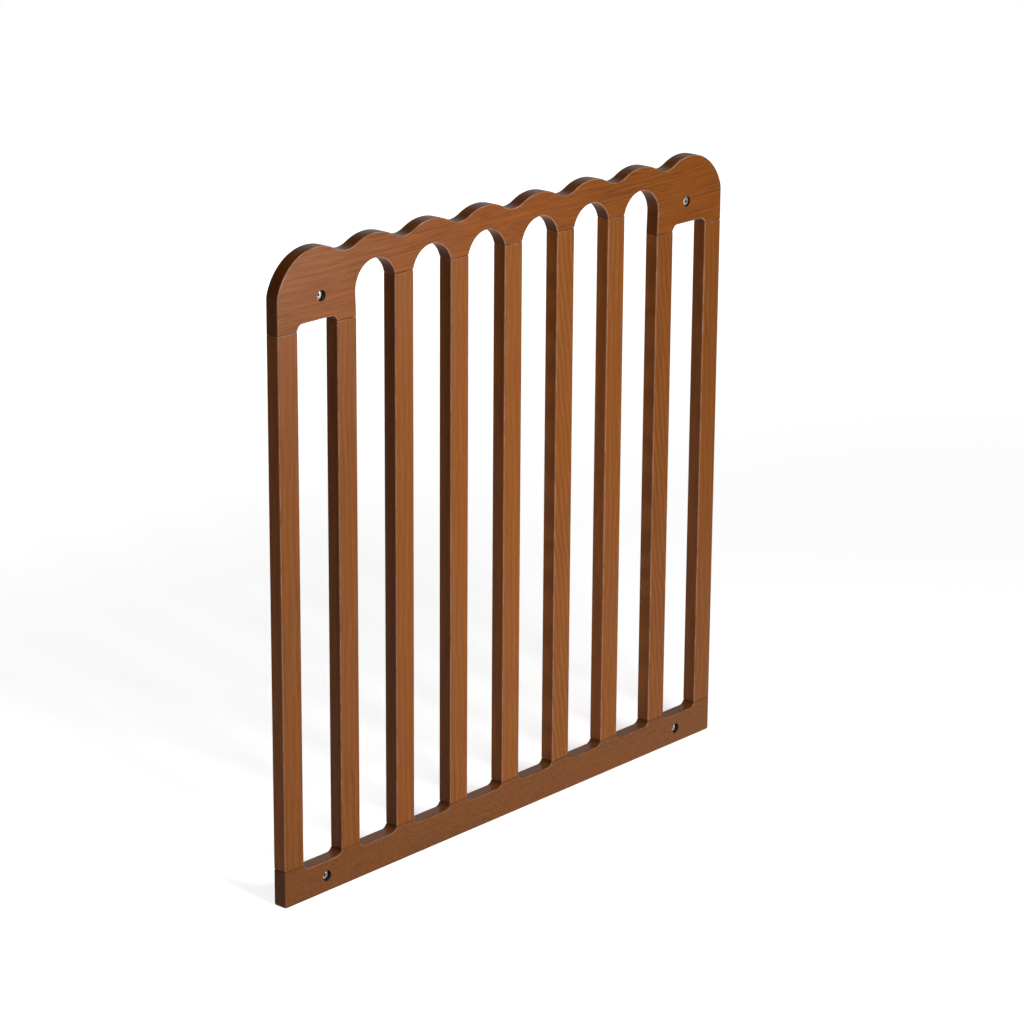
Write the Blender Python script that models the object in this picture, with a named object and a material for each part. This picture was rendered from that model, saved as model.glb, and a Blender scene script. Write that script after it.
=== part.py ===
"""Slatted wooden safety gate panel: scalloped top rail, straight bottom rail, nine slats.

The slats butt against the rails and are held by hidden dowels. Four cross-recess screws sit in
counterbores near the corners, each threading into a sleeve nut let into the back of the rail.
Frame: origin at the middle of the underside, +Z up, front face towards -Y, metres.
"""
import math

import bmesh
import bpy
from mathutils import Matrix, Vector

# Driving dimensions
SLAT_COUNT = 9
PITCH = 0.090
SLAT_WIDTH = 0.030
THICKNESS = 0.018
HEIGHT = 0.741
EDGE_ROUND = 0.002
FOOT_CORNER = 0.003
JOINT_SHARE = 0.3  # of the edge rounding, kept where a slat meets a rail
CONTACT_GAP = 0.0003

# Joint heights: slat ends against the rails
BOTTOM_JOINT = 0.043
OUTER_TOP_JOINT = 0.654
INNER_TOP_JOINT = 0.6895
JOINT_HEIGHTS = (BOTTOM_JOINT, OUTER_TOP_JOINT, INNER_TOP_JOINT)

# Rail outline
HUMP_RADIUS = 0.062
HUMP_HEIGHT = 0.0112
SHOULDER_RADIUS = 0.025
ARCH_RISE = 0.023
COVE_RADIUS = 0.008
NOTCH_RISE = 0.0066
RECESS_DEPTH = 0.005

# Dowels, one in each slat end
DOWEL_RADIUS = 0.004
DOWEL_LENGTH = 0.036
DOWEL_CHAMFER = 0.001

# Corner fixings
SCREW_INSET = 0.066
UPPER_SCREW_HEIGHT = 0.6863
LOWER_SCREW_HEIGHT = 0.0193
COUNTERBORE_RADIUS = 0.0062
HEAD_RADIUS = 0.0057
HEAD_HEIGHT = 0.0032
SHANK_RADIUS = 0.0025
SHANK_END = 0.0012
TIP_CHAMFER = 0.0008
PAN_HEAD = ((1, 0), (1, 0.45), (0.86, 0.84), (0.5, 1))  # shares of head radius and height
RECESS_ARM = 0.0036
RECESS_WIDTH = 0.0015
RECESS_CUT = 0.0024
RECESS_TAPER = 0.45
NUT_RADIUS = 0.004
NUT_LENGTH = 0.007
CUT_PAST = 0.002
HEAD_DEPTHS = {
    "upper_left": 0.0045,
    "upper_right": 0.0014,
    "lower_left": 0.0036,
    "lower_right": 0.0042,
}

# Facets
ARC_STEP = math.radians(15)
ROUND_SEGMENTS = 2
TURNED_SEGMENTS = 16
SHARP_ANGLE = math.radians(40)

# Derived sizes
WIDTH = (SLAT_COUNT - 1) * PITCH + SLAT_WIDTH
HALF_WIDTH = WIDTH / 2
FRONT = -THICKNESS / 2
BACK = THICKNESS / 2
HALF_GAP = (PITCH - SLAT_WIDTH) / 2
INNER_SLATS = range(2, SLAT_COUNT - 2)
ARCH_TOP = INNER_TOP_JOINT + ARCH_RISE
ARCH_RADIUS = (HALF_GAP ** 2 + ARCH_RISE ** 2) / (2 * ARCH_RISE)
BORE_CLEARANCE = CONTACT_GAP / math.cos(math.pi / TURNED_SEGMENTS)


def slat_x(index):
    """Centre of a slat, counted from 0 at the left end."""
    return (index - (SLAT_COUNT - 1) / 2) * PITCH


def top_joint(index):
    """Height of the joint between a slat and the top rail."""
    return INNER_TOP_JOINT if index in INNER_SLATS else OUTER_TOP_JOINT


def arc(centre, radius, start, end):
    """Points on an arc in the XZ plane, ends included."""
    steps = max(2, math.ceil(abs(end - start) / ARC_STEP))
    angles = [start + (end - start) * i / steps for i in range(steps + 1)]
    return [(centre[0] + radius * math.cos(a), centre[1] + radius * math.sin(a)) for a in angles]


def mirrored(points):
    """The same stretch of outline on the other side of the middle, run the same way round."""
    return [(-x, z) for x, z in reversed(points)]


def joined(*stretches):
    """One outline from stretches that share their end points."""
    points = []
    for point in (p for stretch in stretches for p in stretch):
        if not points or math.dist(points[-1], point) > 1e-6:
            points.append(point)
    return points


def coved_gap(middle, joint, depth, opens):
    """Flat-bottomed recess between two slats, left to right; opens is +1 up, -1 down."""
    centre_z = joint - opens * (depth - COVE_RADIUS)
    run = math.sqrt(COVE_RADIUS ** 2 - (COVE_RADIUS - depth) ** 2)
    reach = math.asin((joint - centre_z) / COVE_RADIUS)
    level = math.pi / 2 if opens < 0 else 3 * math.pi / 2
    left = arc((run - HALF_GAP, centre_z), COVE_RADIUS, math.pi - reach, level)
    return [(middle + x, z) for x, z in left + mirrored(left)]


def arched_gap(middle):
    """Arch between two inner slats, left to right."""
    centre_z = ARCH_TOP - ARCH_RADIUS
    reach = math.asin((INNER_TOP_JOINT - centre_z) / ARCH_RADIUS)
    return arc((middle, centre_z), ARCH_RADIUS, math.pi - reach, reach)


def stepped_gap(middle):
    """Arch that runs down to the lower joint of an outer slat on its left side."""
    centre_z = ARCH_TOP - ARCH_RADIUS
    foot = (-HALF_GAP, OUTER_TOP_JOINT - centre_z)
    towards_foot = math.atan2(foot[1], foot[0]) % (2 * math.pi)
    tangent = towards_foot - math.acos(ARCH_RADIUS / math.hypot(*foot))
    reach = math.asin((INNER_TOP_JOINT - centre_z) / ARCH_RADIUS)
    curve = arc((middle, centre_z), ARCH_RADIUS, tangent, reach)
    return [(middle - HALF_GAP, OUTER_TOP_JOINT)] + curve


def rail_underside():
    """Underside of the top rail, left to right, between the two outer side faces."""
    middles = [slat_x(i) + PITCH / 2 for i in range(SLAT_COUNT - 1)]
    notch = coved_gap(middles[0], OUTER_TOP_JOINT, NOTCH_RISE, -1)
    step = stepped_gap(middles[1])
    arches = [arched_gap(x) for x in middles[2:-2]]
    left_end = [(-HALF_WIDTH, OUTER_TOP_JOINT)]
    return joined(left_end, notch, step, *arches, mirrored(step), mirrored(notch), mirrored(left_end))


def rail_crest():
    """Scalloped top of the top rail, right to left, with its rounded shoulders."""
    bend = 2 * math.atan(HUMP_HEIGHT / (PITCH / 2))
    valley_radius = (PITCH / 2) / math.sin(bend) - HUMP_RADIUS
    hump_z = HEIGHT - HUMP_RADIUS
    valley_z = HEIGHT - HUMP_HEIGHT + valley_radius
    up = math.pi / 2
    first = slat_x(0) + PITCH / 2
    shoulder_x = -HALF_WIDTH + SHOULDER_RADIUS
    apart = HUMP_RADIUS - SHOULDER_RADIUS
    lift = math.sqrt(apart ** 2 - (first - shoulder_x) ** 2)
    meet = math.atan2(lift, shoulder_x - first)
    left = arc((first, hump_z), HUMP_RADIUS, up, meet)
    left += arc((shoulder_x, hump_z + lift), SHOULDER_RADIUS, meet, math.pi)
    middle = []
    for i in range(SLAT_COUNT - 2, 0, -1):
        hump_x = slat_x(i) + PITCH / 2
        middle += arc((hump_x, hump_z), HUMP_RADIUS, up, up + bend)
        middle += arc((slat_x(i), valley_z), valley_radius, bend - up, -up - bend)
        middle += arc((hump_x - PITCH, hump_z), HUMP_RADIUS, up - bend, up)
    return joined(mirrored(left), middle, left)


def bottom_rail_outline():
    """Bottom rail: level underside, and a coved recess between each two slats."""
    middles = [slat_x(i) + PITCH / 2 for i in range(SLAT_COUNT - 1)]
    gaps = [coved_gap(x, BOTTOM_JOINT, RECESS_DEPTH, 1) for x in middles]
    top = joined([(-HALF_WIDTH, BOTTOM_JOINT)], *gaps, [(HALF_WIDTH, BOTTOM_JOINT)])
    foot = arc((HALF_WIDTH - FOOT_CORNER, FOOT_CORNER), FOOT_CORNER, -math.pi / 2, 0)
    return mirrored(foot) + foot + list(reversed(top))


def top_rail_outline():
    """Top rail, anticlockwise seen from the front."""
    return joined(rail_underside(), rail_crest())


def slat_outline(index):
    """Slat between the rails, a contact gap short at each end."""
    left = slat_x(index) - SLAT_WIDTH / 2
    right = slat_x(index) + SLAT_WIDTH / 2
    low = BOTTOM_JOINT + CONTACT_GAP
    high = top_joint(index) - CONTACT_GAP
    return [(left, low), (right, low), (right, high), (left, high)]


def joint_edge(start, end):
    """Whether a stretch of outline is where a slat and a rail meet."""
    level = abs(start[1] - end[1]) < CONTACT_GAP / 10
    return level and any(abs(start[1] - height) < 2 * CONTACT_GAP for height in JOINT_HEIGHTS)


def inset(outline, distance):
    """Outline moved inwards by a distance; its joint edges move by their share of it."""
    moves = []
    for i, here in enumerate(outline):
        along = (Vector(here) - Vector(outline[i - 1])).normalized()
        shift = distance * JOINT_SHARE if joint_edge(outline[i - 1], here) else distance
        moves.append((Vector((-along.y, along.x)), shift))
    moved = []
    for i, here in enumerate(outline):
        near, near_shift = moves[i]
        far, far_shift = moves[(i + 1) % len(moves)]
        mitre = (near + far) * near_shift / (1 + near.dot(far))
        if near_shift != far_shift:
            spread = near.x * far.y - near.y * far.x
            mitre.x = (near_shift * far.y - far_shift * near.y) / spread
            mitre.y = (far_shift * near.x - near_shift * far.x) / spread
        moved.append(tuple(Vector(here) + mitre))
    return moved


def board_mesh(name, outline):
    """Board with the given outline, its front and back edges rounded over."""
    turns = [math.pi / 2 * i / ROUND_SEGMENTS for i in range(ROUND_SEGMENTS + 1)]
    layers = [(EDGE_ROUND * (1 - math.sin(t)), FRONT + EDGE_ROUND * (1 - math.cos(t))) for t in turns]
    layers += [(depth, -y) for depth, y in reversed(layers)]
    bm = bmesh.new()
    rings = []
    for depth, y in layers:
        rings.append([bm.verts.new((x, y, z)) for x, z in inset(outline, depth)])
    for near, far in zip(rings, rings[1:]):
        for i in range(len(near)):
            bm.faces.new((near[i - 1], far[i - 1], far[i], near[i]))
    bm.faces.new(rings[0])
    bm.faces.new(reversed(rings[-1]))
    return finished_mesh(name, bm)


def add_turned(bm, profile, placement):
    """Turned body added to a mesh: profile is (radius, height) along local +Z.

    A profile that starts on the axis ends on it too; any other closes on itself, as a ring.
    """
    step = 2 * math.pi / TURNED_SEGMENTS
    rings = []
    for radius, height in profile:
        count = TURNED_SEGMENTS if radius else 1
        turns = [step * i for i in range(count)]
        rings.append([bm.verts.new((radius * math.cos(t), radius * math.sin(t), height)) for t in turns])
    pairs = list(zip(rings, rings[1:]))
    if profile[0][0]:
        pairs.append((rings[-1], rings[0]))
    for low, high in pairs:
        for i in range(TURNED_SEGMENTS):
            below = [low[0]] if len(low) == 1 else [low[i - 1], low[i]]
            above = [high[0]] if len(high) == 1 else [high[i], high[i - 1]]
            bm.faces.new(below + above)
    bmesh.ops.transform(bm, matrix=placement, verts=[v for ring in rings for v in ring])


def finished_mesh(name, bm):
    """Mesh data from a bmesh, with its faces pointing out."""
    bmesh.ops.recalc_face_normals(bm, faces=bm.faces)
    mesh = bpy.data.meshes.new(name)
    bm.to_mesh(mesh)
    bm.free()
    return mesh


def material(name, colour, roughness, metallic=0.0):
    """Principled material with one colour."""
    made = bpy.data.materials.new(name)
    made.use_nodes = True
    shader = made.node_tree.nodes["Principled BSDF"]
    shader.inputs["Base Color"].default_value = (*colour, 1.0)
    shader.inputs["Roughness"].default_value = roughness
    shader.inputs["Metallic"].default_value = metallic
    return made


def place(name, mesh, look, parent, round_piece=False):
    """Named object with one material, under the gate's empty."""
    mesh.materials.append(look)
    if round_piece:
        mesh.shade_smooth()
        mesh.set_sharp_from_angle(angle=SHARP_ANGLE)
    piece = bpy.data.objects.new(name, mesh)
    bpy.context.collection.objects.link(piece)
    piece.parent = parent
    return piece


def cut(piece, bm, parent):
    """Boolean cut of a piece by a hidden cutter."""
    name = piece.name + "_cutter"
    cutter = bpy.data.objects.new(name, finished_mesh(name, bm))
    bpy.context.collection.objects.link(cutter)
    cutter.parent = parent
    cutter.hide_render = True
    cutter.display_type = "WIRE"
    boolean = piece.modifiers.new("bores", "BOOLEAN")
    boolean.operation = "DIFFERENCE"
    boolean.solver = "EXACT"
    boolean.object = cutter


def along_y(x, z):
    """Placement that turns local +Z towards the front, with its zero on the front face."""
    return Matrix.Translation((x, FRONT, z)) @ Matrix.Rotation(math.pi / 2, 4, "X")


def along_z(x, z):
    """Placement that keeps local +Z upright."""
    return Matrix.Translation((x, 0, z))


def dowel_bore(bm, index, joint):
    """Blind bore for a dowel, on both sides of a joint."""
    radius = DOWEL_RADIUS + BORE_CLEARANCE
    half = DOWEL_LENGTH / 2 + 2 * CONTACT_GAP
    profile = [(0, -half), (radius, -half), (radius, half), (0, half)]
    add_turned(bm, profile, along_z(slat_x(index), joint))


def dowel_mesh(name):
    """Dowel with chamfered ends, centred on its joint."""
    half = DOWEL_LENGTH / 2
    tip = DOWEL_RADIUS - DOWEL_CHAMFER
    shoulder = half - DOWEL_CHAMFER
    bm = bmesh.new()
    profile = [(0, -half), (tip, -half), (DOWEL_RADIUS, -shoulder)]
    profile += [(radius, -height) for radius, height in reversed(profile)]
    add_turned(bm, profile, Matrix())
    return finished_mesh(name, bm)


def screw_bore(bm, x, z, head_depth):
    """Counterbore, clearance hole and nut pocket in one stepped cutter."""
    floor = -(head_depth + HEAD_HEIGHT + CONTACT_GAP)
    pocket = -(THICKNESS - NUT_LENGTH - 2 * CONTACT_GAP)
    clear = SHANK_RADIUS + BORE_CLEARANCE
    wide = NUT_RADIUS + BORE_CLEARANCE
    profile = [(0, -THICKNESS - CUT_PAST), (wide, -THICKNESS - CUT_PAST), (wide, pocket), (clear, pocket)]
    profile += [(clear, floor), (COUNTERBORE_RADIUS, floor), (COUNTERBORE_RADIUS, CUT_PAST), (0, CUT_PAST)]
    add_turned(bm, profile, along_y(x, z))


def screw_mesh(name, head_depth):
    """Cross-recess pan-head screw with a chamfered tip, local +Z out of the front face."""
    top = -head_depth
    under = top - HEAD_HEIGHT
    tip = SHANK_END - THICKNESS
    tip_radius = SHANK_RADIUS - TIP_CHAMFER
    bm = bmesh.new()
    profile = [(0, tip), (tip_radius, tip), (SHANK_RADIUS, tip + TIP_CHAMFER), (SHANK_RADIUS, under)]
    profile += [(HEAD_RADIUS * wide, under + HEAD_HEIGHT * up) for wide, up in PAN_HEAD]
    profile.append((0, top))
    add_turned(bm, profile, Matrix())
    return finished_mesh(name, bm)


def cross_cutter(head_depth):
    """Tapered cross for a driver tip, as one twelve-sided star."""
    arm, half = RECESS_ARM, RECESS_WIDTH / 2
    quarter = [(arm, half), (half, half), (half, arm)]
    star = []
    for turn in range(4):
        spin = Matrix.Rotation(turn * math.pi / 2, 2)
        star += [spin @ Vector(p) for p in quarter]
    bm = bmesh.new()
    above = -head_depth + RECESS_CUT
    below = -head_depth - RECESS_CUT
    upper = [bm.verts.new((p.x, p.y, above)) for p in star]
    lower = [bm.verts.new((p.x * RECESS_TAPER, p.y * RECESS_TAPER, below)) for p in star]
    bm.faces.new(upper)
    bm.faces.new(reversed(lower))
    for i in range(len(star)):
        bm.faces.new((lower[i - 1], lower[i], upper[i], upper[i - 1]))
    return bm


def nut_mesh(name):
    """Sleeve nut, open at both ends, just below the back face."""
    inner = SHANK_RADIUS + BORE_CLEARANCE
    back = -THICKNESS + CONTACT_GAP
    front = back + NUT_LENGTH
    bm = bmesh.new()
    add_turned(bm, [(inner, back), (NUT_RADIUS, back), (NUT_RADIUS, front), (inner, front)], Matrix())
    return finished_mesh(name, bm)


def clear_scene():
    """Empty scene."""
    for item in list(bpy.data.objects):
        bpy.data.objects.remove(item, do_unlink=True)


def build():
    """Whole gate panel."""
    clear_scene()
    frame = bpy.data.objects.new("gate_panel", None)
    bpy.context.collection.objects.link(frame)
    rail_wood = material("stained_rail", (0.17, 0.060, 0.014), 0.42)
    slat_wood = material("stained_slat", (0.18, 0.064, 0.015), 0.42)
    bare_wood = material("bare_beech", (0.62, 0.42, 0.25), 0.7)
    zinc = material("zinc_plated_steel", (0.66, 0.67, 0.68), 0.3, 1.0)

    top_rail = place("top_rail", board_mesh("top_rail", top_rail_outline()), rail_wood, frame)
    bottom_mesh = board_mesh("bottom_rail", bottom_rail_outline())
    bottom_rail = place("bottom_rail", bottom_mesh, rail_wood, frame)
    top_bores = bmesh.new()
    bottom_bores = bmesh.new()

    for index in range(SLAT_COUNT):
        number = index + 1
        slat_mesh = board_mesh(f"slat_{number}", slat_outline(index))
        slat = place(f"slat_{number}", slat_mesh, slat_wood, frame)
        slat_bores = bmesh.new()
        joints = (("bottom", BOTTOM_JOINT, bottom_bores), ("top", top_joint(index), top_bores))
        for end, joint, rail_bores in joints:
            dowel_bore(slat_bores, index, joint)
            dowel_bore(rail_bores, index, joint)
            name = f"dowel_{end}_{number}"
            dowel = place(name, dowel_mesh(name), bare_wood, frame, round_piece=True)
            dowel.location = (slat_x(index), 0, joint)
        cut(slat, slat_bores, frame)

    for corner, head_depth in HEAD_DEPTHS.items():
        level, side = corner.split("_")
        x = (HALF_WIDTH - SCREW_INSET) * (-1 if side == "left" else 1)
        z = UPPER_SCREW_HEIGHT if level == "upper" else LOWER_SCREW_HEIGHT
        screw_bore(top_bores if level == "upper" else bottom_bores, x, z, head_depth)
        screw_name = f"screw_{corner}"
        screw = place(screw_name, screw_mesh(screw_name, head_depth), zinc, frame, round_piece=True)
        screw.matrix_basis = along_y(x, z)
        cross = cross_cutter(head_depth)
        bmesh.ops.transform(cross, matrix=along_y(x, z), verts=cross.verts)
        cut(screw, cross, frame)
        nut_name = f"sleeve_nut_{corner}"
        nut = place(nut_name, nut_mesh(nut_name), zinc, frame, round_piece=True)
        nut.matrix_basis = along_y(x, z)

    cut(top_rail, top_bores, frame)
    cut(bottom_rail, bottom_bores, frame)


build()
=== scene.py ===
import math

import bmesh
import bpy
from mathutils import Matrix, Vector
from mathutils.geometry import delaunay_2d_cdt


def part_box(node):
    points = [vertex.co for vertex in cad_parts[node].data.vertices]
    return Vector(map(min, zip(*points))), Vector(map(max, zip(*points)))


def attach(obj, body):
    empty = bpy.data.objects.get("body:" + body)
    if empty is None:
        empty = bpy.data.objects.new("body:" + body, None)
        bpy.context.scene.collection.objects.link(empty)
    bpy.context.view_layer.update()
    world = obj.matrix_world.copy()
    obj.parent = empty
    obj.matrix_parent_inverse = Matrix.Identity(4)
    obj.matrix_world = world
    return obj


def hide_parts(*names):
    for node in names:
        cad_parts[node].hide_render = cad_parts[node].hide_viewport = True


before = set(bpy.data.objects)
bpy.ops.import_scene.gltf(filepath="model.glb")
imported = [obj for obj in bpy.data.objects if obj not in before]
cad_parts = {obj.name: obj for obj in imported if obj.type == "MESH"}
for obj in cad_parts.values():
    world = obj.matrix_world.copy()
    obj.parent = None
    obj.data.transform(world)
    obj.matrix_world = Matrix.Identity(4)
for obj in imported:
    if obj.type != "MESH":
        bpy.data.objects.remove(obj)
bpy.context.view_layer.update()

BODY = "root"

# Sizes read from the frame
RAIL_LOW, RAIL_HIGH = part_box("top_rail")
SLAT_COUNT = sum(name.startswith("slat_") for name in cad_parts)
SLAT_BOXES = [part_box(f"slat_{i + 1}") for i in range(SLAT_COUNT)]
HALF_WIDTH = RAIL_HIGH[0]
HEIGHT = RAIL_HIGH[2]
FRONT, BACK = RAIL_LOW[1], RAIL_HIGH[1]
SLAT_WIDTH = SLAT_BOXES[0][1][0] - SLAT_BOXES[0][0][0]
PITCH = (2 * HALF_WIDTH - SLAT_WIDTH) / (SLAT_COUNT - 1)
HALF_GAP = (PITCH - SLAT_WIDTH) / 2
CONTACT_GAP = 0.0003
BOTTOM_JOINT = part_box("bottom_rail")[1][2]
OUTER_TOP_JOINT = SLAT_BOXES[0][1][2] + CONTACT_GAP
INNER_TOP_JOINT = SLAT_BOXES[SLAT_COUNT // 2][1][2] + CONTACT_GAP
JOINT_HEIGHTS = (BOTTOM_JOINT, OUTER_TOP_JOINT, INNER_TOP_JOINT)

# Outline radii, as the solids have them
HUMP_RADIUS = 0.062
HUMP_HEIGHT = 0.0112
SHOULDER_RADIUS = 0.025
ARCH_RISE = 0.023
COVE_RADIUS = 0.008
NOTCH_RISE = 0.0066
RECESS_DEPTH = 0.005
ARCH_TOP = INNER_TOP_JOINT + ARCH_RISE
ARCH_RADIUS = (HALF_GAP ** 2 + ARCH_RISE ** 2) / (2 * ARCH_RISE)
EDGE_ROUND = 0.002
FOOT_CORNER = 0.003
JOINT_SHARE = 0.3
CORNER_EASE = 0.0008

# Fixings
CORNERS = ("upper_left", "upper_right", "lower_left", "lower_right")
COUNTERBORE_RADIUS = 0.0062
MOUTH_SOFTENING = 0.0003
HEAD_HEIGHT = 0.0032
HEAD_RADIUS = 0.0057
SHANK_RADIUS = 0.0025
THREAD_DEPTH = 0.0003
THREAD_PITCH = 0.0008
NUT_RADIUS = 0.004
NUT_BORE = 0.0028
NUT_CHAMFER = 0.0004
RECESS_ARM = 0.0036
RECESS_WIDTH = 0.0015
RECESS_CUT = 0.0024
RECESS_FILLET = 1.3
RECESS_MOUTH = 1.25
RECESS_FLOOR = 0.55
RECESS_SHADE_DEPTH = 0.0004
HEAD_EASE = 0.0003
HEAD_WALL = 0.45
HEAD_FLAT = 0.35
DOME_STEPS = 9
TIP_SHARE = 0.7

# Slats cut flat across the rings, with broad slanting figure
FLAMED_SLATS = (5, 7)

# Turns of the grain, from upright
UPRIGHT = (0.0, 0.0, 0.0)
ALONG_RAIL = (0.0, math.pi / 2, 0.0)

# Stain on the boards, and the pale colour of their edges and ends: partly stain worn thin, partly painted
# highlight
UPPER_TONE = (0.187, 0.055, 0.0062)
LOWER_TONE = (0.146, 0.049, 0.0097)
SLAT_TONE = (0.185, 0.058, 0.0078)
FIBRE_DRIFT = 0.011
# colour of the pale edges and ends: worn stain and painted highlight
THIN_STAIN_AND_HIGHLIGHT = (0.42, 0.26, 0.19, 1.0)
THIN_RIM = 0.0009

# Painted light and shade on the zinc: each screw head is made brighter or darker to stand in for how it
# is lit
PAINTED_ZINC_LIGHT = {"upper_left": 1.3, "upper_right": 0.5, "lower_left": 0.85, "lower_right": 1.3}

# Share of a board's tone in each mark of the wood, one number or one for each channel
EARLY_WOOD = 1.20
LATE_WOOD = (0.56, 0.47, 0.42)
FLECK_WOOD = 0.60
PORE_WOOD = 0.45
WARM_WOOD = (1.15, 1.02, 0.85)
END_GRAIN = (0.40, 0.34, 0.36)
# share of the tone in the painted shade on the counterbore walls
BORE_SHADE = 0.12
# tint of the painted shade on the side faces
SIDE_SHADE_TINT = 0.96

# How strongly the marks show
BAND_WEIGHT = 0.45
PORE_WEIGHT = 0.5
CLOUD_WEIGHT = 0.35
END_WEIGHT = 0.62
# strength of the painted shade on the counterbore walls
BORE_SHADE_WEIGHT = 0.85
# strength of the painted shade in the cross recess of the screws
RECESS_SHADE_WEIGHT = 0.85

# Finish of the stained wood
WOOD_ROUGHNESS = 0.40
STREAK_ROUGHNESS = 0.08
END_ROUGHNESS = 0.14
WOOD_SPECULAR = 0.06
COAT_WEIGHT = 0.17
COAT_ROUGHNESS = 0.24

# Shift of the pattern from one board to the next
SEED_STEP = (0.31, 0.17, 0.73)

# Mesh fineness
ARC_STEP = math.radians(4)
ROUND_SEGMENTS = 6
TURNED_SEGMENTS = 64
SHARP_ANGLE = math.radians(35)
SAME_POINT = 1e-6
CAP_TOLERANCE = 1e-7
HOLE_MARGIN = 0.9

# Camera
CAMERA_PLACE = (-2.95826, -2.60645, 1.62872)
CAMERA_YAW = -0.85016
CAMERA_PITCH = -0.30874
CAMERA_ROLL = -0.00687
CAMERA_LENS = 126.52
SENSOR_WIDTH = 36.0

# Floor: the lane that lights the gate lies along one direction, shifted to the left
BACKDROP_DIRECTION = (0.75, 0.66, 0.0)
ACROSS_DIRECTION = (0.66, -0.75, 0.0)
LANE_SPREAD = 0.15
LANE_SHIFT = 0.35

# Softboxes: place, side and power. The surround throws little light and shows white.
SOFTBOXES = {
    "key": ((-0.32, -1.55, 1.05), 0.7, 31),
    "low_strip": ((1.5, -2.4, 0.2), 0.5, 27),
    "side_card": ((-2.8, 0.6, 0.35), 0.9, 17),
    "back_wash": ((2.7, 3.3, 1.9), 2.6, 20),
    "back_fill": ((0.6, 3.0, 0.55), 1.6, 30),
}
SURROUND_THROWN = 0.055
SURROUND_SHOWN = 1.0
LOOK_CENTRE = Vector((0, 0, HEIGHT / 2))


def slat_x(index):
    """Centre of a slat, counted from 0 at the left end."""
    return (index - (SLAT_COUNT - 1) / 2) * PITCH


# ---------------------------------------------------------------- outlines

def arc(centre, radius, start, end):
    """Points on an arc in the XZ plane, ends included."""
    steps = max(2, math.ceil(abs(end - start) / ARC_STEP))
    angles = [start + (end - start) * i / steps for i in range(steps + 1)]
    return [(centre[0] + radius * math.cos(a), centre[1] + radius * math.sin(a)) for a in angles]


def mirrored(points):
    """The same stretch of outline on the other side of the middle, run the same way round."""
    return [(-x, z) for x, z in reversed(points)]


def joined(*stretches):
    """One outline from stretches that share their end points."""
    points = []
    for point in (p for stretch in stretches for p in stretch):
        if not points or math.dist(points[-1], point) > SAME_POINT:
            points.append(point)
    return points


def coved_gap(middle, joint, depth, opens):
    """Flat-bottomed recess between two slats, left to right; opens is +1 up, -1 down."""
    centre_z = joint - opens * (depth - COVE_RADIUS)
    run = math.sqrt(COVE_RADIUS ** 2 - (COVE_RADIUS - depth) ** 2)
    centre = (run - HALF_GAP, centre_z)
    reach = math.asin((joint - centre_z) / COVE_RADIUS)
    level = math.pi / 2 if opens < 0 else 3 * math.pi / 2
    left = arc(centre, COVE_RADIUS, math.pi - reach, level)
    return [(middle + x, z) for x, z in left + mirrored(left)]


def arched_gap(middle):
    """Arch between two inner slats, left to right."""
    centre_z = ARCH_TOP - ARCH_RADIUS
    reach = math.asin((INNER_TOP_JOINT - centre_z) / ARCH_RADIUS)
    return arc((middle, centre_z), ARCH_RADIUS, math.pi - reach, reach)


def stepped_gap(middle):
    """Arch that runs down to the lower joint of an outer slat on its left side."""
    centre_z = ARCH_TOP - ARCH_RADIUS
    foot = (-HALF_GAP, OUTER_TOP_JOINT - centre_z)
    towards_foot = math.atan2(foot[1], foot[0]) % (2 * math.pi)
    tangent = towards_foot - math.acos(ARCH_RADIUS / math.hypot(*foot))
    reach = math.asin((INNER_TOP_JOINT - centre_z) / ARCH_RADIUS)
    curve = arc((middle, centre_z), ARCH_RADIUS, tangent, reach)
    return [(middle - HALF_GAP, OUTER_TOP_JOINT)] + curve


def rail_underside():
    """Underside of the top rail, left to right."""
    middles = [slat_x(i) + PITCH / 2 for i in range(SLAT_COUNT - 1)]
    notch = coved_gap(middles[0], OUTER_TOP_JOINT, NOTCH_RISE, -1)
    step = stepped_gap(middles[1])
    arches = [arched_gap(x) for x in middles[2:-2]]
    left_end = [(-HALF_WIDTH, OUTER_TOP_JOINT)]
    return joined(left_end, notch, step, *arches, mirrored(step), mirrored(notch), mirrored(left_end))


def rail_crest():
    """Scalloped top of the top rail, right to left, with its rounded shoulders."""
    bend = 2 * math.atan(HUMP_HEIGHT / (PITCH / 2))
    valley_radius = (PITCH / 2) / math.sin(bend) - HUMP_RADIUS
    hump_z = HEIGHT - HUMP_RADIUS
    valley_z = HEIGHT - HUMP_HEIGHT + valley_radius
    up = math.pi / 2
    first = slat_x(0) + PITCH / 2
    shoulder_x = -HALF_WIDTH + SHOULDER_RADIUS
    apart = HUMP_RADIUS - SHOULDER_RADIUS
    lift = math.sqrt(apart ** 2 - (first - shoulder_x) ** 2)
    meet = math.atan2(lift, shoulder_x - first)
    left = arc((first, hump_z), HUMP_RADIUS, up, meet)
    left += arc((shoulder_x, hump_z + lift), SHOULDER_RADIUS, meet, math.pi)
    middle = []
    for i in range(SLAT_COUNT - 2, 0, -1):
        hump_x = slat_x(i) + PITCH / 2
        middle += arc((hump_x, hump_z), HUMP_RADIUS, up, up + bend)
        middle += arc((slat_x(i), valley_z), valley_radius, bend - up, -up - bend)
        middle += arc((hump_x - PITCH, hump_z), HUMP_RADIUS, up - bend, up)
    return joined(mirrored(left), middle, left)


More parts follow.
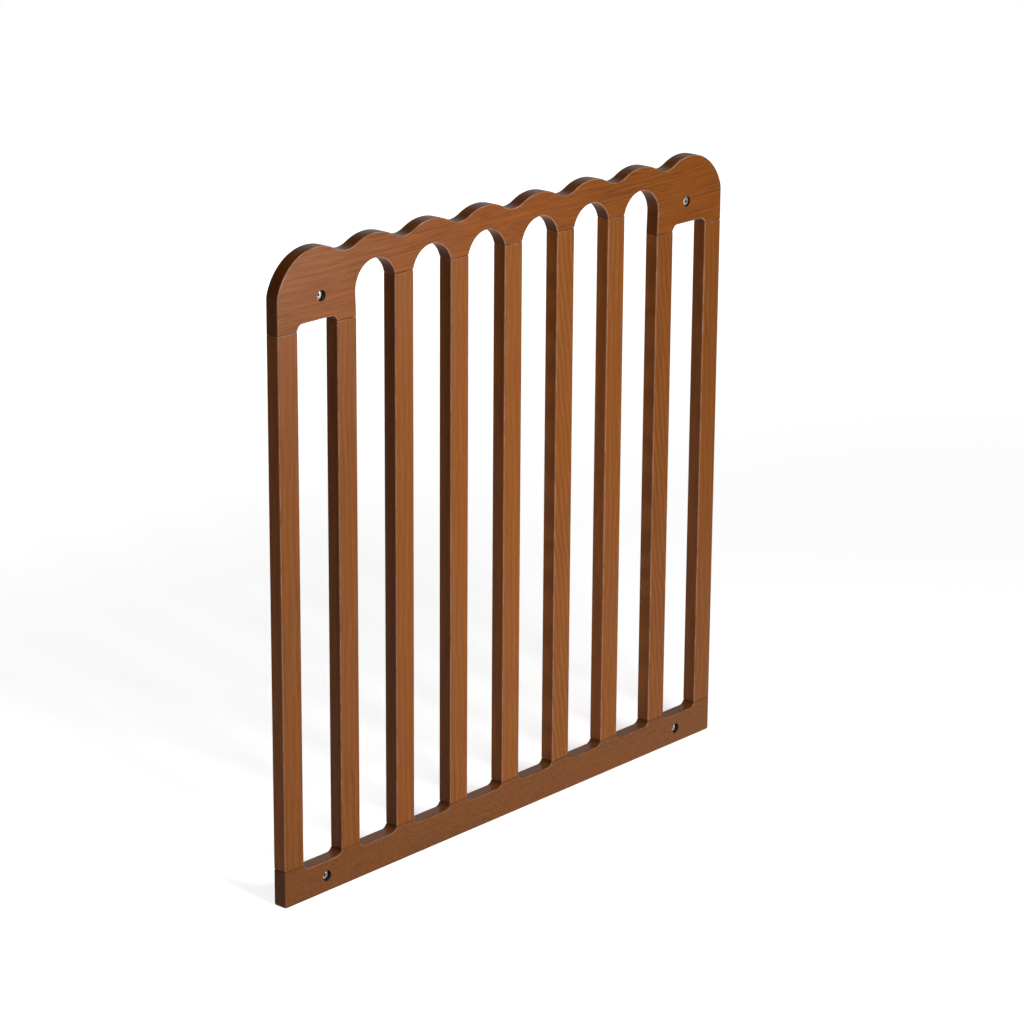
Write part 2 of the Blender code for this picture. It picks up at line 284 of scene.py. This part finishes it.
def bottom_rail_outline():
    """Bottom rail: level underside, and a coved recess between each two slats."""
    middles = [slat_x(i) + PITCH / 2 for i in range(SLAT_COUNT - 1)]
    gaps = [coved_gap(x, BOTTOM_JOINT, RECESS_DEPTH, 1) for x in middles]
    top = joined([(-HALF_WIDTH, BOTTOM_JOINT)], *gaps, [(HALF_WIDTH, BOTTOM_JOINT)])
    foot = arc((HALF_WIDTH - FOOT_CORNER, FOOT_CORNER), FOOT_CORNER, -math.pi / 2, 0)
    return mirrored(foot) + foot + list(reversed(top))


def top_rail_outline():
    """Top rail, anticlockwise seen from the front."""
    return joined(rail_underside(), rail_crest())


def slat_outline(index):
    """Slat with its four corners eased, anticlockwise seen from the front."""
    (left, _, low), (right, _, high) = SLAT_BOXES[index]
    foot_z, head_z = low + CORNER_EASE, high - CORNER_EASE
    inner_left, inner_right = left + CORNER_EASE, right - CORNER_EASE
    foot = [(left, foot_z), (inner_left, low), (inner_right, low), (right, foot_z)]
    head = [(right, head_z), (inner_right, high), (inner_left, high), (left, head_z)]
    return foot + head


def joint_edge(start, end):
    """Whether a stretch of outline is where a slat and a rail meet."""
    level = abs(start[1] - end[1]) < CONTACT_GAP / 10
    return level and any(abs(start[1] - height) < 2 * CONTACT_GAP for height in JOINT_HEIGHTS)


def inset(outline, distance):
    """Outline moved inwards by a distance; its joint edges move by their share of it."""
    moves = []
    for i, here in enumerate(outline):
        along = (Vector(here) - Vector(outline[i - 1])).normalized()
        shift = distance * JOINT_SHARE if joint_edge(outline[i - 1], here) else distance
        moves.append((Vector((-along.y, along.x)), shift))
    moved = []
    for i, here in enumerate(outline):
        near, near_shift = moves[i]
        far, far_shift = moves[(i + 1) % len(moves)]
        mitre = (near + far) * near_shift / (1 + near.dot(far))
        if near_shift != far_shift:
            spread = near.x * far.y - near.y * far.x
            mitre.x = (near_shift * far.y - far_shift * near.y) / spread
            mitre.y = (far_shift * near.x - near_shift * far.x) / spread
        moved.append(tuple(Vector(here) + mitre))
    return moved


# ---------------------------------------------------------------- meshes

def fill_cap(bm, rim, holes):
    """Flat triangles between a rim and the round holes inside it, all in one plane."""
    loops = [rim] + [ring for ring, _, _ in holes]
    verts = [v for loop in loops for v in loop]
    edges, first = [], 0
    for loop in loops:
        edges += [(first + i, first + (i + 1) % len(loop)) for i in range(len(loop))]
        first += len(loop)
    flat = [Vector((v.co.x, v.co.z)) for v in verts]
    points, _, triangles, origins, _, _ = delaunay_2d_cdt(flat, edges, [], 1, CAP_TOLERANCE)
    for triangle in triangles:
        middle = sum((points[i] for i in triangle), Vector((0, 0))) / 3
        apart = [(middle - Vector(centre)).length / radius for _, centre, radius in holes]
        if all(share > HOLE_MARGIN for share in apart):
            bm.faces.new([verts[origins[i][0]] for i in triangle])


def circle(bm, centre, radius, y):
    """Ring of vertices around a hole."""
    turns = [2 * math.pi * i / TURNED_SEGMENTS for i in range(TURNED_SEGMENTS)]
    points = [(centre[0] + radius * math.cos(t), centre[1] + radius * math.sin(t)) for t in turns]
    return [bm.verts.new((x, y, z)) for x, z in points]


def bridge(bm, rings):
    """Side walls between rings of equal length."""
    for near, far in zip(rings, rings[1:]):
        for i in range(len(near)):
            bm.faces.new((near[i - 1], far[i - 1], far[i], near[i]))


def board_mesh(name, outline, bores=()):
    """Board with its front and back edges rounded over; bores are (centre, [(radius, y), ...])."""
    turns = [math.pi / 2 * i / ROUND_SEGMENTS for i in range(ROUND_SEGMENTS + 1)]
    layers = [(EDGE_ROUND * (1 - math.sin(t)), FRONT + EDGE_ROUND * (1 - math.cos(t))) for t in turns]
    layers += [(depth, -y) for depth, y in reversed(layers)]
    bm = bmesh.new()
    rings = [[bm.verts.new((x, y, z)) for x, z in inset(outline, depth)] for depth, y in layers]
    bridge(bm, rings)
    front_holes, back_holes = [], []
    for centre, profile in bores:
        walls = [circle(bm, centre, radius, y) for radius, y in profile]
        bridge(bm, walls)
        front_holes.append((walls[0], centre, profile[0][0]))
        back_holes.append((walls[-1], centre, profile[-1][0]))
    fill_cap(bm, rings[0], front_holes)
    fill_cap(bm, rings[-1], back_holes)
    return finished_mesh(name, bm)


def add_turned(bm, profile, placement):
    """Turned body added to a mesh. Its profile is (radius, height) along local +Z, from the low end
    up; one that starts and ends on the axis is solid, any other is closed on itself as a tube."""
    turns = [2 * math.pi * i / TURNED_SEGMENTS for i in range(TURNED_SEGMENTS)]
    rings = []
    for radius, height in profile:
        ring = [(radius * math.cos(t), radius * math.sin(t), height) for t in turns]
        rings.append([bm.verts.new(point) for point in (ring if radius else ring[:1])])
    pairs = list(zip(rings, rings[1:]))
    if profile[0][0]:
        pairs.append((rings[-1], rings[0]))
    for low, high in pairs:
        for i in range(TURNED_SEGMENTS):
            below = [low[0]] if len(low) == 1 else [low[i - 1], low[i]]
            above = [high[0]] if len(high) == 1 else [high[i], high[i - 1]]
            bm.faces.new(below + above)
    bmesh.ops.transform(bm, matrix=placement, verts=[v for ring in rings for v in ring])


def finished_mesh(name, bm):
    """Mesh data from a bmesh, with its faces pointing out."""
    bmesh.ops.recalc_face_normals(bm, faces=bm.faces)
    mesh = bpy.data.meshes.new(name)
    bm.to_mesh(mesh)
    bm.free()
    return mesh


def link(name, data):
    """New object in the scene."""
    made = bpy.data.objects.new(name, data)
    bpy.context.collection.objects.link(made)
    return made


def finish_piece(name, mesh, look, node, cutter_bm=None):
    """Object cut by a cutter, smooth shaded, that stands for a CAD node."""
    piece = link(name, mesh)
    if cutter_bm:
        cutter = link(name + "_cutter", finished_mesh(name + "_cutter", cutter_bm))
        boolean = piece.modifiers.new("cut", "BOOLEAN")
        boolean.operation = "DIFFERENCE"
        boolean.solver = "EXACT"
        boolean.object = cutter
        evaluated = piece.evaluated_get(bpy.context.evaluated_depsgraph_get())
        piece.data = bpy.data.meshes.new_from_object(evaluated)
        piece.modifiers.clear()
        bpy.data.objects.remove(cutter, do_unlink=True)
    piece.data.shade_smooth()
    piece.data.set_sharp_from_angle(angle=SHARP_ANGLE)
    weighted = piece.modifiers.new("flat_faces_stay_flat", "WEIGHTED_NORMAL")
    weighted.keep_sharp = True
    piece.data.materials.clear()
    piece.data.materials.append(look)
    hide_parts(node)
    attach(piece, BODY)
    return piece


# ---------------------------------------------------------------- materials

class Graph:
    """Short way to add nodes to a material and link them."""

    def __init__(self, name):
        self.material = bpy.data.materials.new(name)
        self.material.use_nodes = True
        self.tree = self.material.node_tree
        self.shader = self.tree.nodes["Principled BSDF"]

    def add(self, kind, settings=None, **inputs):
        node = self.tree.nodes.new("ShaderNode" + kind)
        for key, value in (settings or {}).items():
            setattr(node, key, value)
        for key, value in inputs.items():
            self.set(node, key.replace("_", " "), value)
        return node

    def set(self, node, key, value):
        socket = node.inputs[int(key)] if key.isdigit() else node.inputs[key]
        if isinstance(value, bpy.types.NodeSocket):
            self.tree.links.new(value, socket)
        else:
            socket.default_value = value

    def math(self, operation, first, second=0.0, clamp=False):
        node = self.add("Math", {"operation": operation, "use_clamp": clamp})
        self.set(node, "0", first)
        self.set(node, "1", second)
        return node.outputs[0]

    def noise(self, vector, scale, detail=3.0, roughness=0.5):
        node = self.add("TexNoise", None, Vector=vector, Scale=scale, Detail=detail, Roughness=roughness)
        return node.outputs["Fac"]

    def spread(self, value, low, high, to_low=0.0, to_high=1.0):
        node = self.add("MapRange", {"interpolation_type": "SMOOTHSTEP"})
        for key, number in zip("01234", (value, low, high, to_low, to_high)):
            self.set(node, key, number)
        return node.outputs[0]

    def mix(self, factor, first, second, blend="MIX"):
        node = self.add("Mix", {"data_type": "RGBA", "blend_type": blend})
        self.set(node, "0", factor)
        self.set(node, "6", first)
        self.set(node, "7", second)
        return node.outputs[2]

    def combine(self, operation, first, second):
        return self.add("VectorMath", {"operation": operation}, **{"0": first, "1": second})

    def axis(self, vector, name):
        return self.add("SeparateXYZ", None, Vector=vector).outputs[name]

    def from_bore(self, vector, x, z):
        flat = self.combine("MULTIPLY", vector, (1.0, 0.0, 1.0)).outputs[0]
        return self.combine("DISTANCE", flat, (x, 0.0, z)).outputs["Value"]

    def stretched(self, vector, across, along):
        node = self.add("Mapping", None, Vector=vector)
        node.inputs["Scale"].default_value = (across, across, along)
        return node.outputs[0]


def rgb(colour, factor=1.0):
    """Colour with alpha, scaled."""
    return (*(c * factor for c in colour), 1.0)


def tinted(colour, shares):
    """Colour with alpha, each channel scaled by its own share."""
    return (*(c * share for c, share in zip(colour, shares)), 1.0)


def stained_wood(name, tone, grain_turn, pith, lean, seed, marks, wear_and_highlight_range, side_shade=0.8, pale_end_height=None,
                 bores=()):
    """Stained beech. The grain runs along local Z after grain_turn, and the rings centre on pith.

    marks is how much rings, streaks and flecks show, wear_and_highlight_range the least and most
    paleness of the edges, from worn stain and painted highlight, side_shade the share of the tone on
    the side faces, which is painted shade, pale_end_height the height of a pale upper end, from thin
    stain and painted highlight.
    """
    figure, streaks, fleck = marks
    g = Graph(name)
    here = g.add("TexCoord").outputs["Object"]
    turned = g.add("Mapping", None, Vector=here)
    turned.inputs["Rotation"].default_value = grain_turn
    turned.inputs["Location"].default_value = tuple(seed * step for step in SEED_STEP)
    wood = turned.outputs[0]

    # slow waviness of the fibres
    drift = g.add("TexNoise", None, Vector=g.stretched(wood, 11.0, 5.5), Scale=1.0, Detail=2.0)
    drift = g.combine("SUBTRACT", drift.outputs["Color"], (0.5, 0.5, 0.5))
    drift = g.combine("MULTIPLY", drift.outputs[0], (FIBRE_DRIFT, FIBRE_DRIFT, 0.0))
    waved = g.combine("ADD", wood, drift.outputs[0]).outputs[0]

    # growth rings cut at a slant
    ring_frame = g.add("Mapping", None, Vector=waved)
    ring_frame.inputs["Location"].default_value = pith
    ring_frame.inputs["Rotation"].default_value = (lean, lean * 0.6, 0.0)
    rings = g.add("TexWave", {"wave_type": "RINGS", "rings_direction": "Z"}, Vector=ring_frame.outputs[0],
                  Scale=38.0, Distortion=5.0, Detail=3.0, Detail_Scale=0.45)
    rings = g.spread(rings.outputs["Fac"], 0.1, 0.95)

    # fibres, pores and ray flecks, and the uneven take-up of the stain
    bands = g.noise(g.stretched(waved, 240.0, 4.5), 1.0, 4.0, 0.6)
    fibres = g.noise(g.stretched(waved, 760.0, 12.0), 1.0, 4.0, 0.6)
    fine = g.noise(g.stretched(waved, 2100.0, 75.0), 1.0, 2.0, 0.5)
    flecks = g.noise(g.stretched(waved, 700.0, 330.0), 1.0, 3.0, 0.6)
    blotch = g.noise(g.stretched(wood, 26.0, 7.0), 1.0, 3.0, 0.55)

    band = g.spread(bands, 0.36, 0.66)
    streak = g.spread(fibres, 0.42, 0.64)
    pore = g.spread(fine, 0.60, 0.74)
    fleck_mask = g.spread(flecks, 0.44, 0.62)
    cloud = g.spread(blotch, 0.25, 0.75)

    deep = tinted(tone, LATE_WOOD)
    colour = g.mix(g.math("MULTIPLY", rings, figure), rgb(tone, EARLY_WOOD), deep)
    colour = g.mix(g.math("MULTIPLY", band, streaks * BAND_WEIGHT), colour, deep)
    colour = g.mix(g.math("MULTIPLY", streak, streaks), colour, deep)
    colour = g.mix(g.math("MULTIPLY", fleck_mask, fleck), colour, rgb(tone, FLECK_WOOD))
    colour = g.mix(g.math("MULTIPLY", pore, PORE_WEIGHT), colour, rgb(tone, PORE_WOOD))
    colour = g.mix(g.math("MULTIPLY", cloud, CLOUD_WEIGHT), colour, tinted(tone, WARM_WOOD))

    # the rounded edges are paler: partly stain worn thin, partly a painted highlight along them
    facing = g.add("TexCoord").outputs["Normal"]
    tilt = g.math("ABSOLUTE", g.axis(facing, "Y"))
    edge = g.math("MULTIPLY", g.spread(tilt, 0.30, 0.62), g.spread(tilt, 0.86, 0.99, 1.0, 0.0))
    wear_and_highlight = g.math("MULTIPLY", edge, g.spread(g.noise(here, 55.0, 3.0, 0.6), 0.25, 0.7, *wear_and_highlight_range))
    colour = g.mix(wear_and_highlight, colour, THIN_STAIN_AND_HIGHLIGHT)

    # end grain drinks more stain
    grain_facing = g.add("Mapping", {"vector_type": "NORMAL"}, Vector=facing)
    grain_facing.inputs["Rotation"].default_value = grain_turn
    end = g.spread(g.math("ABSOLUTE", g.axis(grain_facing.outputs[0], "Z")), 0.30, 0.95)
    colour = g.mix(g.math("MULTIPLY", end, END_WEIGHT), colour, tinted(tone, END_GRAIN))

    # the eased end under a joint is pale in places: partly thin stain, partly a painted highlight under
    # the joint
    if pale_end_height:
        rim = g.math("GREATER_THAN", g.axis(here, "Z"), pale_end_height - THIN_RIM)
        rim = g.math("MULTIPLY", rim, g.spread(g.noise(here, 90.0, 2.0), 0.35, 0.65, 0.08, 0.42))
        colour = g.mix(rim, colour, THIN_STAIN_AND_HIGHLIGHT)

    # painted shade on the side faces: each board's side faces are darkened by their own amount
    side = g.spread(g.math("ABSOLUTE", g.axis(facing, "X")), 0.6, 0.95)
    colour = g.mix(side, colour, (side_shade, side_shade * SIDE_SHADE_TINT, side_shade, 1.0), "MULTIPLY")

    # painted shade on the walls of the counterbores, which are darkened all round
    for (x, z), _ in bores:
        bore_shade = g.math("LESS_THAN", g.from_bore(here, x, z), COUNTERBORE_RADIUS + MOUTH_SOFTENING / 3)
        colour = g.mix(g.math("MULTIPLY", bore_shade, BORE_SHADE_WEIGHT), colour, rgb(tone, BORE_SHADE))

    # the finish is duller in the streaks and on the end grain
    rough = g.math("ADD", g.math("MULTIPLY", streak, STREAK_ROUGHNESS), WOOD_ROUGHNESS)
    rough = g.math("ADD", rough, g.math("MULTIPLY", end, END_ROUGHNESS))
    height = g.math("SUBTRACT", g.math("MULTIPLY", fibres, 0.5), g.math("MULTIPLY", pore, 0.8))
    bump = g.add("Bump", None, Height=height, Strength=0.22, Distance=0.00025)

    g.set(g.shader, "Base Color", colour)
    g.set(g.shader, "Roughness", rough)
    g.set(g.shader, "Normal", bump.outputs[0])
    g.shader.inputs["Specular IOR Level"].default_value = WOOD_SPECULAR
    g.shader.inputs["Coat Weight"].default_value = COAT_WEIGHT
    g.shader.inputs["Coat Roughness"].default_value = COAT_ROUGHNESS
    return g.material


def bare_beech():
    """Unfinished dowel wood."""
    g = Graph("bare_beech")
    here = g.add("TexCoord").outputs["Object"]
    fibres = g.noise(g.stretched(here, 900.0, 40.0), 1.0, 4.0, 0.6)
    colour = g.mix(g.spread(fibres, 0.3, 0.7), (0.66, 0.45, 0.27, 1), (0.50, 0.31, 0.17, 1))
    g.set(g.shader, "Base Color", colour)
    g.set(g.shader, "Roughness", g.spread(fibres, 0.2, 0.8, 0.62, 0.78))
    bump = g.add("Bump", None, Height=fibres, Strength=0.3, Distance=0.0002)
    g.set(g.shader, "Normal", bump.outputs[0])
    return g.material


def zinc_plating(name, shade, recess=None):
    """Bright zinc with faint blue and straw patches, made brighter or darker by painted light and
    shade, with painted shade inside the cross recess of a screw.
    """
    g = Graph(name)
    here = g.add("TexCoord").outputs["Object"]
    patches = g.noise(here, 420.0, 3.0, 0.55)
    grain = g.noise(here, 5200.0, 2.0, 0.6)
    blue, straw = rgb((0.56, 0.68, 0.74), shade), rgb((0.72, 0.74, 0.72), shade)
    colour = g.mix(g.spread(patches, 0.35, 0.65), blue, straw)
    if recess:
        x, z, head_depth = recess
        # painted shade deep in the cross recess, where little light reaches
        sunk = g.math("GREATER_THAN", g.axis(here, "Y"), FRONT + head_depth + RECESS_SHADE_DEPTH)
        inside = g.math("LESS_THAN", g.from_bore(here, x, z), RECESS_ARM * RECESS_MOUTH)
        recess_shade = g.math("MULTIPLY", g.math("MULTIPLY", sunk, inside), RECESS_SHADE_WEIGHT)
        colour = g.mix(recess_shade, colour, (0.02, 0.02, 0.022, 1))
    g.set(g.shader, "Base Color", colour)
    g.set(g.shader, "Roughness", g.spread(grain, 0.25, 0.75, 0.34, 0.52))
    bump = g.add("Bump", None, Height=grain, Strength=0.12, Distance=0.0001)
    g.set(g.shader, "Normal", bump.outputs[0])
    g.shader.inputs["Metallic"].default_value = 0.6
    return g.material


def floor_paint():
    """Plain pale floor. Most of the light that it throws on the gate comes from a lane behind it."""
    g = Graph("pale_floor")
    here = g.add("TexCoord").outputs["Object"]
    seen = g.add("LightPath").outputs["Is Camera Ray"]
    behind = g.combine("DOT_PRODUCT", here, BACKDROP_DIRECTION).outputs["Value"]
    across = g.combine("DOT_PRODUCT", here, ACROSS_DIRECTION).outputs["Value"]
    spill = g.math("ABSOLUTE", g.math("ADD", across, LANE_SHIFT))
    spill = g.math("SUBTRACT", spill, g.math("MULTIPLY", behind, LANE_SPREAD))
    lane = g.math("MULTIPLY", g.spread(behind, -1.0, -0.6), g.spread(spill, 1.0, 1.55, 1.0, 0.0))
    thrown = g.math("MULTIPLY", g.spread(behind, -0.6, 1.3, 0.14, 0.85), lane)
    near_glow = g.spread(g.axis(here, "X"), -0.6, 0.0, 0.80, 0.60)
    away = g.add("VectorMath", {"operation": "LENGTH"}, **{"0": here}).outputs["Value"]
    shown = g.math("ADD", near_glow, g.spread(away, 0.8, 3.5, 0.0, 0.34))
    cloud = g.noise(here, 0.7, 2.0)
    pale = g.mix(g.spread(cloud, 0.2, 0.8), (0.94, 0.94, 0.94, 1), (0.92, 0.92, 0.92, 1))
    dim = g.mix(lane, (0.35, 0.35, 0.35, 1), (0.70, 0.70, 0.70, 1))
    g.set(g.shader, "Base Color", g.mix(seen, dim, pale))
    g.shader.inputs["Roughness"].default_value = 0.9
    g.shader.inputs["Emission Color"].default_value = (1, 1, 1, 1)
    g.set(g.shader, "Emission Strength", g.spread(seen, 0.0, 1.0, thrown, shown))
    return g.material


# ---------------------------------------------------------------- fixings

def out_of_front(x, z):
    """Placement that turns local +Z towards the front, with its zero on the front face."""
    return Matrix.Translation((x, FRONT, z)) @ Matrix.Rotation(math.pi / 2, 4, "X")


def fixing_place(corner):
    """Screw's x and z, and how far its head sits below the front face."""
    low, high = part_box(f"screw_{corner}")
    return (low[0] + high[0]) / 2, (low[2] + high[2]) / 2, low[1] - FRONT


def screw_bore(corner):
    """Counterbore with a softened mouth, clearance hole and nut pocket, front to back."""
    x, z, head_depth = fixing_place(corner)
    floor = FRONT + head_depth + HEAD_HEIGHT + CONTACT_GAP
    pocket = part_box(f"sleeve_nut_{corner}")[0][1] - CONTACT_GAP
    clear = SHANK_RADIUS + CONTACT_GAP
    wide = NUT_RADIUS + CONTACT_GAP
    mouth = [(COUNTERBORE_RADIUS + MOUTH_SOFTENING, FRONT), (COUNTERBORE_RADIUS, FRONT + MOUTH_SOFTENING)]
    walls = [(COUNTERBORE_RADIUS, floor), (clear, floor), (clear, pocket), (wide, pocket), (wide, BACK)]
    return (x, z), mouth + walls


def cross_cutter(head_depth, placement):
    """Tapered cross for a driver tip."""
    arm, half = RECESS_ARM, RECESS_WIDTH / 2
    star = []
    for turn in range(4):
        spin = Matrix.Rotation(turn * math.pi / 2, 2)
        inner = half * RECESS_FILLET
        star += [spin @ Vector(p) for p in ((arm, half), (inner, inner), (half, arm))]
    bm = bmesh.new()
    levels = ((-head_depth + RECESS_CUT, RECESS_MOUTH), (-head_depth - RECESS_CUT, RECESS_FLOOR))
    upper, lower = [[bm.verts.new((p.x * s, p.y * s, h)) for p in star] for h, s in levels]
    bm.faces.new(upper)
    bm.faces.new(reversed(lower))
    for i in range(len(star)):
        bm.faces.new((lower[i - 1], lower[i], upper[i], upper[i - 1]))
    bmesh.ops.transform(bm, matrix=placement, verts=bm.verts)
    return bm


def make_screw(corner, look):
    """Pan-head screw with a domed head, a cross recess and thread ridges."""
    x, z, head_depth = fixing_place(corner)
    placement = out_of_front(x, z)
    top = -head_depth
    under = top - HEAD_HEIGHT
    tip = -(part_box(f"screw_{corner}")[1][1] - FRONT)
    wall = under + HEAD_HEIGHT * HEAD_WALL
    profile = [(0, tip), (SHANK_RADIUS * TIP_SHARE, tip)]
    turns = int((under - tip) / THREAD_PITCH) - 1
    for i in range(turns):
        height = tip + (i + 1) * THREAD_PITCH
        profile += [(SHANK_RADIUS - THREAD_DEPTH, height - THREAD_PITCH / 2), (SHANK_RADIUS, height)]
    profile += [(SHANK_RADIUS - THREAD_DEPTH, under), (HEAD_RADIUS - HEAD_EASE, under)]
    profile += [(HEAD_RADIUS, under + HEAD_EASE), (HEAD_RADIUS, wall)]
    for i in range(1, DOME_STEPS):
        turn = math.pi / 2 * i / DOME_STEPS
        share = HEAD_FLAT + (1 - HEAD_FLAT) * math.cos(turn)
        profile.append((HEAD_RADIUS * share, wall + (top - wall) * math.sin(turn)))
    profile += [(HEAD_RADIUS * HEAD_FLAT, top), (0, top)]
    bm = bmesh.new()
    add_turned(bm, profile, placement)
    mesh = finished_mesh(f"screw_head_{corner}", bm)
    cutter = cross_cutter(head_depth, placement)
    finish_piece(f"cross_screw_{corner}", mesh, look, f"screw_{corner}", cutter)


def make_nut(corner, look):
    """Sleeve nut with chamfered mouths."""
    x, z, _ = fixing_place(corner)
    low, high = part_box(f"sleeve_nut_{corner}")
    back, front = FRONT - high[1], FRONT - low[1]
    ease = NUT_CHAMFER
    outside = [(NUT_RADIUS - ease, back), (NUT_RADIUS, back + ease)]
    outside += [(NUT_RADIUS, front - ease), (NUT_RADIUS - ease, front)]
    inside = [(NUT_BORE + ease, front), (NUT_BORE, front - ease)]
    inside += [(NUT_BORE, back + ease), (NUT_BORE + ease, back)]
    bm = bmesh.new()
    add_turned(bm, outside + inside, out_of_front(x, z))
    mesh = finished_mesh(f"nut_{corner}", bm)
    finish_piece(f"threaded_sleeve_{corner}", mesh, look, f"sleeve_nut_{corner}")


# ---------------------------------------------------------------- the gate

def slat_wood(index):
    """Wood of one slat: tone, place in the log and figure differ a little. The tone also carries
    painted light, brightest in the middle slats, and the side faces carry painted shade that differs
    from slat to slat.
    """
    # tone brighter in the middle slats, darker towards both ends: partly the boards' own tone, partly
    # painted light
    shade = 1 + 0.09 * math.cos((index - 4.3) * 0.8)
    tone = tuple(c * shade for c in SLAT_TONE)
    pith = (0.05 + 0.02 * math.sin(index * 1.7), 0.035 * math.cos(index * 2.1), 0.0)
    lean, figure = (0.24, 0.5) if index in FLAMED_SLATS else (0.04, 0.3)
    # painted shade on the side faces, deepest on the slats left of the middle
    side_shade = 0.8 - 0.2 * math.cos((index - 2.4) * 0.85)
    top = SLAT_BOXES[index][1][2]
    return stained_wood(f"stained_slat_{index + 1}", tone, UPRIGHT, pith, lean, 3.0 + index,
                        (figure, 0.42, 0.10), (0.10, 0.45), side_shade, top)


def make_boards():
    """Rails and slats, each with its own cut of wood."""
    upper_bores = [screw_bore(corner) for corner in CORNERS if corner.startswith("upper")]
    lower_bores = [screw_bore(corner) for corner in CORNERS if corner.startswith("lower")]
    upper_wood = stained_wood("stained_top_rail", UPPER_TONE, ALONG_RAIL, (-0.05, 0.09, 0.0), 0.05, 1.0,
                              (0.15, 0.75, 0.15), (0.20, 0.72), bores=upper_bores)
    lower_wood = stained_wood("stained_bottom_rail", LOWER_TONE, ALONG_RAIL, (0.16, 0.02, 0.0), 0.03, 2.0,
                              (0.10, 0.25, 0.80), (0.06, 0.28), bores=lower_bores)
    upper_mesh = board_mesh("scalloped_rail", top_rail_outline(), upper_bores)
    lower_mesh = board_mesh("straight_rail", bottom_rail_outline(), lower_bores)
    finish_piece("scalloped_rail", upper_mesh, upper_wood, "top_rail")
    finish_piece("straight_rail", lower_mesh, lower_wood, "bottom_rail")
    for index in range(SLAT_COUNT):
        mesh = board_mesh(f"upright_{index + 1}", slat_outline(index))
        finish_piece(f"upright_{index + 1}", mesh, slat_wood(index), f"slat_{index + 1}")


def make_fixings():
    """Screws and their sleeve nuts."""
    sleeve_zinc = zinc_plating("zinc_sleeve", 1.0)
    for corner in CORNERS:
        make_screw(corner, zinc_plating(f"zinc_{corner}", PAINTED_ZINC_LIGHT[corner], fixing_place(corner)))
        make_nut(corner, sleeve_zinc)


def finish_dowels():
    """Dowels keep their solids, with a bare wood material."""
    look = bare_beech()
    for name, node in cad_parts.items():
        if name.startswith("dowel_"):
            node.data.materials.clear()
            node.data.materials.append(look)


# ---------------------------------------------------------------- studio

def make_camera():
    """Long lens, from the left, a little above the gate."""
    data = bpy.data.cameras.new("camera")
    data.sensor_width = SENSOR_WIDTH
    data.lens = CAMERA_LENS
    data.clip_end = 100
    camera = link("camera", data)
    turn = Matrix.Rotation(CAMERA_YAW, 4, "Z") @ Matrix.Rotation(CAMERA_PITCH, 4, "X")
    turn = turn @ Matrix.Rotation(CAMERA_ROLL, 4, "Y") @ Matrix.Rotation(math.pi / 2, 4, "X")
    camera.matrix_world = Matrix.Translation(CAMERA_PLACE) @ turn
    bpy.context.scene.camera = camera


def soft_light(name, place, size, power):
    """Square softbox aimed at the gate."""
    data = bpy.data.lights.new(name, "AREA")
    data.size = size
    data.energy = power
    lamp = link(name, data)
    lamp.location = place
    lamp.rotation_euler = (LOOK_CENTRE - Vector(place)).to_track_quat("-Z", "Y").to_euler()


def make_studio():
    """Pale floor, a frontal softbox, others for sheen and for the back, and a white surround."""
    bpy.ops.mesh.primitive_plane_add(size=60)
    floor = bpy.context.object
    floor.name = "floor"
    floor.data.materials.append(floor_paint())
    for name, (place, size, power) in SOFTBOXES.items():
        soft_light(name, place, size, power)
    world = bpy.data.worlds.new("surround")
    world.use_nodes = True
    background = world.node_tree.nodes["Background"]
    background.inputs["Color"].default_value = (1, 1, 1, 1)
    path = world.node_tree.nodes.new("ShaderNodeLightPath")
    strength = world.node_tree.nodes.new("ShaderNodeMapRange")
    strength.inputs["To Min"].default_value = SURROUND_THROWN
    strength.inputs["To Max"].default_value = SURROUND_SHOWN
    world.node_tree.links.new(path.outputs["Is Camera Ray"], strength.inputs["Value"])
    world.node_tree.links.new(strength.outputs[0], background.inputs["Strength"])
    bpy.context.scene.world = world
    bpy.context.scene.view_settings.view_transform = "Standard"


make_camera()
make_boards()
make_fixings()
finish_dowels()
make_studio()
